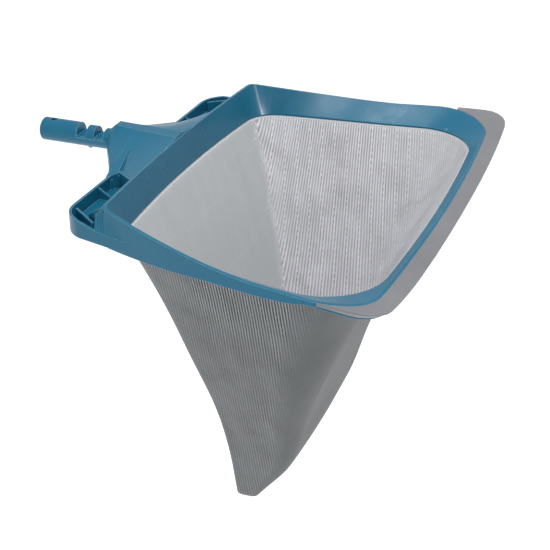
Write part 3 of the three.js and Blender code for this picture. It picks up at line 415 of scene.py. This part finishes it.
# The net bag hangs from the clamp ring. Sizes in mm, from the mouth's back corners and plane.
bagMake = {
    "origin": (112.0, -23.5),  # the mouth's back corners in the part's frame, x and z
    "depth": 405.0,
    "top": -2.7,
    "dip": 3.6,  # the mouth's front half hangs lower
    "dipRun": 190.0,
    "dipFade": 4,
    "knots": [  # back corners' x, back half width, front corners' x, front half width
        (0, 204, 287, 250.5), (27, 178, 249, 213.5), (50, 154.5, 217, 184),
        (70, 130, 189, 152), (78.5, 106, 164, 117), (80, 83, 110, 82),
    ],
    "backBow": (12.5, 1.0),  # at the mouth and at the toe
    "sideBow": (3.0, 1.0),
    "frontBow": (12.5, 1.0),
    "bowFade": 0.6,
    "backRadius": (42.0, 9.0),
    "frontRadius": (70.0, 9.0),
    "radiusFade": 0.7,
    "columns": (26, 14, 48, 14, 26),  # back, corner, side, corner and front of one half
    "rows": 96,
    "outerInset": 0.6,
    "innerInset": 1.7,
    "toeDrops": (1.3, 0.2),  # how far the outer and the inner shell's floors hang down
    "toeRings": ((0.93, 0.7), (0.75, 1.0)),  # width and share of the drop
    "toeSides": 0.4,  # the floors narrow less from side to side
}
# The slack's sizes in mm, outwards.
slackMake = {
    "bellies": (-0.6, 1.0, 0.8),  # back, side and front walls
    "fade": 0.8,
    "wrinkles": ((1.5, 0.012, 0.004, 0.0), (0.5, 0.035, 0.006, 9.0)),  # size, scale across and down, shift
    "sag": 1.0,
}
# How the ribs lean, for each mm down, and how strongly they stand out.
ribMake = {
    "farLean": (0.03, -0.13),  # at the back and at the front
    "nearLean": (0.03, 0.03),
    "leanRun": (60.0, 230.0),
    "columnLean": -0.13,
    "creaseLean": 0.30,
    "creaseColumns": 5,  # from the back corner's start to its crease
    "creaseReach": 26.0,
    "creaseFade": 1.3,
    "creaseLeast": 0.12,
    "hazeReach": 12.0,
    "hazeMost": 0.7,
    "fadeDown": 0.4,
    "outer": {"least": 0.3, "from": 20, "run": 110, "fadeDown": 0.6, "fadeRun": 0.36},
    "frontColumns": 2,  # the ribs fade from here, before the front corner
    "frontRun": (14.0, 7.0),  # inside and outside
    "frontLeast": (0.25, 0.02),
    "plain": (0.2, 0.3),  # rib strength and haze of the rim and the toe
}


def toPart(x, y, z):
    return Vector(((x + bagMake["origin"][0]) * mm, y * mm, (z + bagMake["origin"][1]) * mm))


def mouthZ(x):
    return -bagMake["dip"] * smoothStep(clamp01(x / bagMake["dipRun"]))


def bowedEdge(a, b, bow):  # centre and radius of the arc that stands out on the left
    chord = (b - a).length
    radius = chord * chord / (8 * bow) + bow / 2
    along = (b - a) / chord
    return (a + b) / 2 + Vector((-along.y, along.x)) * (bow - radius), radius


def filletCentre(first, second, radius, corner):
    r1, r2 = first[1] - radius, second[1] - radius
    between = second[0] - first[0]
    distance = between.length
    along = (r1 * r1 - r2 * r2 + distance * distance) / (2 * distance)
    aside = math.sqrt(max(0.0, r1 * r1 - along * along))
    unit = between / distance
    foot = first[0] + unit * along
    left = Vector((-unit.y, unit.x))
    return min((foot + left * aside, foot - left * aside), key=lambda p: (p - corner).length)


def arcPoints(centre, radius, start, end, count, withLast=False):
    angles = [mix(start, end, i / count) for i in range(count + 1 if withLast else count)]
    return [Vector((centre.x + radius * math.cos(a), centre.y + radius * math.sin(a))) for a in angles]


def angleFrom(centre, p):
    return math.atan2(p.y - centre.y, p.x - centre.x)


def halfLoop(s):  # from the middle of the back, round +Y, to the middle of the front
    steps = bagMake["columns"]
    back, front = Vector((s["back"], s["backHalf"])), Vector((s["front"], s["frontHalf"]))
    backEdge = bowedEdge(Vector((back.x, -back.y)), back, s["backBow"])
    sideEdge = bowedEdge(back, front, s["sideBow"])
    frontEdge = bowedEdge(front, Vector((front.x, -front.y)), s["frontBow"])
    backFillet = filletCentre(backEdge, sideEdge, s["backRadius"], back)
    frontFillet = filletCentre(sideEdge, frontEdge, s["frontRadius"], front)
    backTurn = angleFrom(backEdge[0], backFillet)
    sideTurns = angleFrom(sideEdge[0], backFillet), angleFrom(sideEdge[0], frontFillet)
    frontTurn = angleFrom(frontEdge[0], frontFillet)
    return (
        arcPoints(*backEdge, math.pi, backTurn, steps[0])
        + arcPoints(backFillet, s["backRadius"], backTurn, sideTurns[0], steps[1])
        + arcPoints(*sideEdge, *sideTurns, steps[2])
        + arcPoints(frontFillet, s["frontRadius"], sideTurns[1], frontTurn, steps[3])
        + arcPoints(*frontEdge, frontTurn, 0.0, steps[4], True)
    )


def smoothValue(values, share):  # a smooth run through values at equal steps
    last = len(values) - 1
    at = clamp01(share) * last
    i = min(last - 1, int(at))
    t = at - i

    def value(k):
        return values[min(last, max(0, k))]

    def slope(k):
        return (value(k + 1) - value(k - 1)) / (2 if 0 < k < last else 1)

    return (
        value(i) * (1 + 2 * t) * (1 - t) ** 2 + value(i + 1) * t * t * (3 - 2 * t)
        + slope(i) * t * (1 - t) ** 2 - slope(i + 1) * t * t * (1 - t)
    )


def bagShape(share, inset):
    rows = bagMake["knots"]
    back, backHalf, front, frontHalf = (smoothValue([row[k] for row in rows], share) for k in range(4))
    shape = {"back": back + inset, "front": front - inset, "backHalf": backHalf - inset,
             "frontHalf": frontHalf - inset, "sideBow": mix(*bagMake["sideBow"], share)}
    for key in ("backBow", "frontBow"):
        shape[key] = mix(*bagMake[key], share ** bagMake["bowFade"])
    for key in ("backRadius", "frontRadius"):
        shape[key] = mix(*bagMake[key], share ** bagMake["radiusFade"]) - inset
    return shape


backEnd, sideStart, sideEnd, frontStart, halfCount = (sum(bagMake["columns"][: i + 1]) for i in range(5))
columnCount = 2 * halfCount
walls = ((-backEnd, backEnd), (sideStart, sideEnd), (frontStart, columnCount - frontStart))


def halfColumn(c):
    return c if c <= halfCount else columnCount - c


# Slack of the cloth: the walls belly between the seams and carry shallow wrinkles.
def slack(c, share, p, z):
    k = halfColumn(c)
    middle = math.sin(math.pi * share) ** slackMake["fade"]
    swell = wrinkle = 0.0
    for (start, end), belly in zip(walls, slackMake["bellies"]):
        if start <= k <= end:
            swell += belly * math.sin(math.pi * (k - start) / (end - start)) ** 2
    for size, across, down, shift in slackMake["wrinkles"]:
        wrinkle += size * noise.noise(Vector((p.x * across, p.y * across, z * down + shift)))
    return (swell + wrinkle) * middle * slackMake["sag"]


def bagLoop(share, inset):
    loop = halfLoop(bagShape(share, inset))
    loop += [Vector((p.x, -p.y)) for p in reversed(loop[1:-1])]
    points = []
    for c, p in enumerate(loop):
        along = loop[(c + 1) % columnCount] - loop[c - 1]
        outward = Vector((-along.y, along.x)).normalized()
        z = mix(bagMake["top"], -bagMake["depth"], share) + mouthZ(p.x) * (1 - share) ** bagMake["dipFade"]
        q = p + outward * slack(c, share, p, z)
        points.append(Vector((q.x, q.y, z)))
    return points


def loopRuns(loop):  # length round the loop up to each column
    runs = [0.0]
    for c in range(columnCount):
        runs.append(runs[-1] + (loop[(c + 1) % columnCount] - loop[c]).length)
    return runs


# Place across and along the ribs for a point in column c, how strong the ribs are and the haze.
def clothAt(c, p, share, arcs, outside):
    far = c <= halfCount
    k = halfColumn(c)
    crease = backEnd + ribMake["creaseColumns"]
    down = -p.z
    start, end = ribMake["leanRun"]
    lean = mix(*ribMake["farLean" if far else "nearLean"], clamp01((p.x - start) / (end - start)))
    fade = 1 - ribMake["fadeDown"] * share
    if outside:  # clearest at the top, towards the front
        outer = ribMake["outer"]
        fade = mix(outer["least"], 1.0, clamp01((p.x - outer["from"]) / outer["run"]))
        fade *= 1 - outer["fadeDown"] * smoothStep(clamp01(share / outer["fadeRun"]))
    if k < crease:
        across = arcs[crease] - arcs[c] if far else arcs[c] - arcs[columnCount - crease]
        strength = clamp01(1 - across / ribMake["creaseReach"]) ** ribMake["creaseFade"]
        place = (across + ribMake["creaseLean"] * down) * mm
        haze = ribMake["hazeMost"] * clamp01(across / ribMake["hazeReach"])
        return place, down * mm, max(ribMake["creaseLeast"], strength) * fade, haze
    place = (p.x + lean * down) * mm
    if k <= sideEnd - ribMake["frontColumns"]:
        return place, down * mm, fade, 0.0
    # On the outside the front wall turns to the haze colour, which is painted shade there.
    past = (k - sideEnd + ribMake["frontColumns"]) / ribMake["frontRun"][outside]
    strength = max(ribMake["frontLeast"][outside], clamp01(1 - past))
    return place, down * mm, strength * fade, ribMake["hazeMost"] * clamp01(past) if outside else 0.0


def makeBag():
    rows = bagMake["rows"]
    vertices, faces, indices = [], [], []
    maps = {"cloth": [], "amount": [], "columns": []}
    shells = []
    for inset in (bagMake["outerInset"], bagMake["innerInset"]):
        loops = [bagLoop(i / rows, inset) for i in range(rows + 1)]
        shells.append((loops, [loopRuns(loop) for loop in loops]))
        for loop in loops:
            vertices.extend(toPart(*p) for p in loop)
    offset = (rows + 1) * columnCount

    def keepFace(ids, inner, *corners):
        faces.append(tuple(ids))
        indices.append(inner)
        for key, values in zip(maps, corners):
            maps[key].append(values)

    def addFace(corners, inner):  # corners as (row, column), columns may run one past the end
        loops, arcs = shells[inner]
        ids, uv, strong, wales = [], [], [], []
        middle = sum(c for r, c in corners) / len(corners)
        for r, c in corners:
            p = loops[r][c % columnCount]
            ids.append(inner * offset + r * columnCount + c % columnCount)
            side = c if (c <= halfCount) == (middle <= halfCount) else halfCount
            x, y, s, hazy = clothAt(side, p, r / rows, arcs[r], not inner)
            uv.append((x, y))
            strong.append((s, hazy))
            wales.append(((p.x + ribMake["columnLean"] * -p.z) * mm, y))
        keepFace(ids, inner, uv, strong, wales)

    def plainFace(ids, inner):
        uv = [(vertices[i].y, vertices[i].x) for i in ids]
        keepFace(ids, inner, uv, [ribMake["plain"]] * len(ids), uv)

    for r in range(rows):
        for c in range(columnCount):
            addFace([(r, c), (r, c + 1), (r + 1, c + 1), (r + 1, c)], 0)
            addFace([(r, c), (r + 1, c), (r + 1, c + 1), (r, c + 1)], 1)
    for c in range(columnCount):
        d = (c + 1) % columnCount
        plainFace((c, offset + c, offset + d, d), 1)
    for inner, drop in enumerate(bagMake["toeDrops"]):  # each shell ends in a shallow floor
        last = shells[inner][0][-1]
        mid = sum(last, Vector((0.0, 0.0, 0.0))) / len(last)
        chain = [[inner * offset + rows * columnCount + c for c in range(columnCount)]]
        for shrink, fall in bagMake["toeRings"]:
            chain.append([])
            for p in last:
                y = mix(mid.y, p.y, 1 - (1 - shrink) * bagMake["toeSides"])
                chain[-1].append(len(vertices))
                vertices.append(toPart(mix(mid.x, p.x, shrink), y, p.z - drop * fall))
        for first, second in zip(chain, chain[1:]):
            for c in range(columnCount):
                d = (c + 1) % columnCount
                plainFace((first[c], first[d], second[d], second[c]), inner)
        final = chain[-1]
        for c in range(halfCount):
            ids = [final[c], final[c + 1], final[columnCount - c - 1], final[(columnCount - c) % columnCount]]
            plainFace([i for n, i in enumerate(ids) if i not in ids[:n]], inner)
    return addMesh("net_bag", vertices, faces, [netOutsideShaded, netInsideLit], indices, maps)


def turnOut(piece):  # every face of a closed mesh looks out
    shape = bmesh.new()
    shape.from_mesh(piece.data)
    bmesh.ops.recalc_face_normals(shape, faces=shape.faces)
    openEdges = sum(1 for e in shape.edges if len(e.link_faces) != 2)
    shape.to_mesh(piece.data)
    shape.free()
    return openEdges


def wallArea():
    rows = bagMake["rows"]
    loops = [bagLoop(i / rows, bagMake["outerInset"]) for i in range(rows + 1)]
    total = 0.0
    for upper, lower in zip(loops, loops[1:]):
        for c in range(columnCount):
            d = (c + 1) % columnCount
            total += (upper[d] - upper[c]).cross(lower[c] - upper[c]).length / 2
            total += (lower[d] - upper[d]).cross(lower[c] - upper[d]).length / 2
    return total * mm * mm


bag = makeBag()
netArea = wallArea()
report(f"bag, {turnOut(bag)} open edges, {len(bag.data.polygons)} faces, {netArea:.4f} m2 of net")
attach(bag, "head")
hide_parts("net_back_panel", "net_far_panel", "net_front_panel", "net_near_panel", "net_toe_patch")


# The hem's tape and bead are welded and smooth, in the places of their CAD solids.
hemMake = {
    "pieces": {"hem_band": "hem_tape_band", "hem_cord": "hem_bead"},
    "weld": 0.00001,
    "centreX": 0.25,  # the weave turns round here, with this radius
    "radius": 0.25,
    "amount": (0.7, 0.0),
}


def makeHem(node, name):
    mesh = nodes[node].data.copy()
    mesh.materials.clear()
    mesh.materials.append(hemTape)
    shape = bmesh.new()
    shape.from_mesh(mesh)
    bmesh.ops.remove_doubles(shape, verts=shape.verts, dist=hemMake["weld"])
    cloth, amount, columns = (shape.loops.layers.uv.new(k) for k in ("cloth", "amount", "columns"))
    for face in shape.faces:
        face.smooth = True
        for loop in face.loops:
            x, y = loop.vert.co.x - hemMake["centreX"], loop.vert.co.y
            loop[cloth].uv = (math.atan2(y, x) * hemMake["radius"], math.hypot(x, y))
            loop[amount].uv = hemMake["amount"]
            loop[columns].uv = loop[cloth].uv
    shape.to_mesh(mesh)
    shape.free()
    piece = bpy.data.objects.new(name, mesh)
    bpy.context.scene.collection.objects.link(piece)
    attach(piece, "head")
    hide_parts(node)
    return piece


hemPieces = [makeHem(node, name) for node, name in hemMake["pieces"].items()]

# The turned edge of the net at the mouth, a fine pale line under the frame.
bindingMake = {"proud": 0.3, "height": 1.2, "overlap": 0.05, "amount": (0.8, 0.0)}


def makeBinding():
    low = bagMake["innerInset"] + bindingMake["overlap"]
    high = bagMake["innerInset"] + bindingMake["proud"]
    share = bindingMake["height"] / bagMake["depth"]
    profile = [(0.0, low), (0.0, high), (share, high), (share, low)]
    loops = [bagLoop(s, inset) for s, inset in profile]
    vertices = [toPart(*p) for loop in loops for p in loop]
    runs = [run * mm for run in loopRuns(loops[0])]
    faces, cloth, amount = [], [], []
    for r in range(len(profile)):
        s = (r + 1) % len(profile)
        for c in range(columnCount):
            d = (c + 1) % columnCount
            faces.append((r * columnCount + c, s * columnCount + c, s * columnCount + d, r * columnCount + d))
            cloth.append([(runs[c], r * mm), (runs[c], s * mm), (runs[c + 1], s * mm), (runs[c + 1], r * mm)])
            amount.append([bindingMake["amount"]] * 4)
    maps = {"cloth": cloth, "amount": amount, "columns": cloth}
    return addMesh("mouth_binding", vertices, faces, [hemTape], None, maps, smooth=False)


binding = makeBinding()
turnOut(binding)
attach(binding, "head")
report("hem")


# Small corner fillets close the slits between the pockets' walls and the yoke's skin.
filletMake = {
    "plan": ((45.45, -91.0), (47.9, -87.5), (46.9, -86.4), (44.6, -88.6)),
    "bottom": -28.4,
    "top": -11.6,
    "edge": 0.6,  # height of the slanted rim at the top
    "shift": 0.175,  # how far the rim slants to the middle
}


def makeFillet(side):
    plan = [(x, y * side) for x, y in filletMake["plan"]]
    bottom, top = filletMake["bottom"], filletMake["top"]
    ring = []
    for z, shift in ((bottom, 0.0), (top - filletMake["edge"], 0.0), (top, filletMake["shift"])):
        ring.append([Vector((x * mm, (y + shift * side) * mm, z * mm)) for x, y in plan])
    faces = [(3, 2, 1, 0), (8, 9, 10, 11)]
    for r in (0, 4):
        faces += [(r + i, r + (i + 1) % 4, r + 4 + (i + 1) % 4, r + 4 + i) for i in range(4)]
    name = "pocket_fillet_near" if side > 0 else "pocket_fillet_far"
    piece = addMesh(name, [v for row in ring for v in row], faces, [blue], smooth=False)
    turnOut(piece)
    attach(piece, "head")


for side in (1, -1):
    makeFillet(side)


# Pan head screws with a cross recess, as lathed rings that dip into the cross.
screwShape = {
    "sides": 40,
    "headRings": 9,
    "headHeight": 1.5,
    "dome": 0.45,  # share of the head's height
    "recessWidth": 0.55,  # half the width of an arm
    "recessReach": 1.9,
    "recessDepth": 1.1,
    "recessRise": 0.3,  # the arms get shallower outwards
    "shankRadius": 1.6,
    "tip": 1.4,
    "tipWidth": 0.1,
}


def makeScrew(node):
    low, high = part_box(node)
    x0, y0 = (low[0] + high[0]) / 2, (low[1] + high[1]) / 2
    headRadius = (high[0] - low[0]) / 2
    headHeight = screwShape["headHeight"] * mm
    sides, rings = screwShape["sides"], screwShape["headRings"]
    reach, half, depth = (screwShape[k] * mm for k in ("recessReach", "recessWidth", "recessDepth"))
    shank, tip = screwShape["shankRadius"] * mm, screwShape["tip"] * mm
    profile = []
    for i in range(1, rings + 1):
        dome = headHeight * screwShape["dome"] * (i / rings) ** 3
        profile.append((headRadius * i / rings, low[2] + dome))
    profile += [(headRadius, low[2] + headHeight), (shank, low[2] + headHeight), (shank, high[2] - tip),
                (shank * screwShape["tipWidth"], high[2])]
    vertices, faces = [Vector((x0, y0, low[2] + depth))], []
    for i, (r, z) in enumerate(profile):
        for k in range(sides):
            a = 2 * math.pi * k / sides
            x, y = r * math.cos(a), r * math.sin(a)
            inCross = min(abs(x), abs(y)) < half and r < reach and i < rings
            dip = depth * (1 - screwShape["recessRise"] * r / reach) if inCross else 0.0
            vertices.append(Vector((x0 + x, y0 + y, z + dip)))
    for k in range(sides):
        n = (k + 1) % sides
        faces.append((0, 1 + n, 1 + k))
        for i in range(len(profile) - 1):
            a, b = 1 + i * sides, 1 + (i + 1) * sides
            faces.append((a + k, a + n, b + n, b + k))
    last = 1 + (len(profile) - 1) * sides
    faces.append(tuple(last + k for k in range(sides)))
    piece = addMesh(node + "_cross_head", vertices, faces, [screwSteel], smooth=False)
    turnOut(piece)
    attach(piece, "head")
    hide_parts(node)


screws = [name for name in nodes if "screw" in name]
for name in screws:
    makeScrew(name)
report(f"{len(screws)} screws")


# A white studio: a floor well below the bag, a large soft key, a small front light and a top light.
studio = {
    "floorZ": -1.4,
    "floorHalf": 15.0,
    "floorTones": ((0.93, 0.93, 0.93), (0.96, 0.96, 0.96)),
    "floorNoise": 1.5,
    "floorRough": 0.9,
    "floorSpecular": 0.1,
    "floorGlow": 0.5,
    "world": 0.6,
    "lights": [  # name, place, target, size, power, lights the walls or only makes highlights
        ("key", (0.9, -1.0, 2.5), (0.25, 0.05, -0.05), 1.5, 46.0, True),
        ("front", (2.1, -0.9, 0.85), (0.15, 0.15, -0.02), 0.14, 40.0, False),
        ("top", (0.15, 0.35, 2.6), (0.25, 0.0, -0.1), 0.6, 13.0, True),
    ],
}


def makeFloor():
    n = Nodes("floor_paper")
    n.set(color=n.color(n.noise(n.point(), studio["floorNoise"]), *studio["floorTones"]))
    n.set(rough=studio["floorRough"], specular=studio["floorSpecular"])
    n.set(glow=(1.0, 1.0, 1.0), glowPower=studio["floorGlow"])
    h, z = studio["floorHalf"], studio["floorZ"]
    floor = addMesh("floor", [(-h, -h, z), (h, -h, z), (h, h, z), (-h, h, z)], [(0, 1, 2, 3)], [n.material])


def makeLight(name, place, target, size, power, onWalls):
    data = bpy.data.lights.new(name, "AREA")
    data.shape = "DISK"
    data.size = size
    data.energy = power
    light = bpy.data.objects.new(name, data)
    light.location = place
    light.visible_diffuse = onWalls
    light.rotation_euler = (Vector(target) - Vector(place)).to_track_quat("-Z", "Y").to_euler()
    bpy.context.scene.collection.objects.link(light)


makeFloor()
for row in studio["lights"]:
    makeLight(*row)
world = bpy.data.worlds.new("studio")
world.use_nodes = True
background = world.node_tree.nodes["Background"]
background.inputs["Color"].default_value = (1.0, 1.0, 1.0, 1.0)
background.inputs["Strength"].default_value = studio["world"]
bpy.context.scene.world = world
bpy.context.scene.view_settings.view_transform = "Standard"
bpy.context.scene.view_settings.look = "None"

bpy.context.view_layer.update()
report("scene")
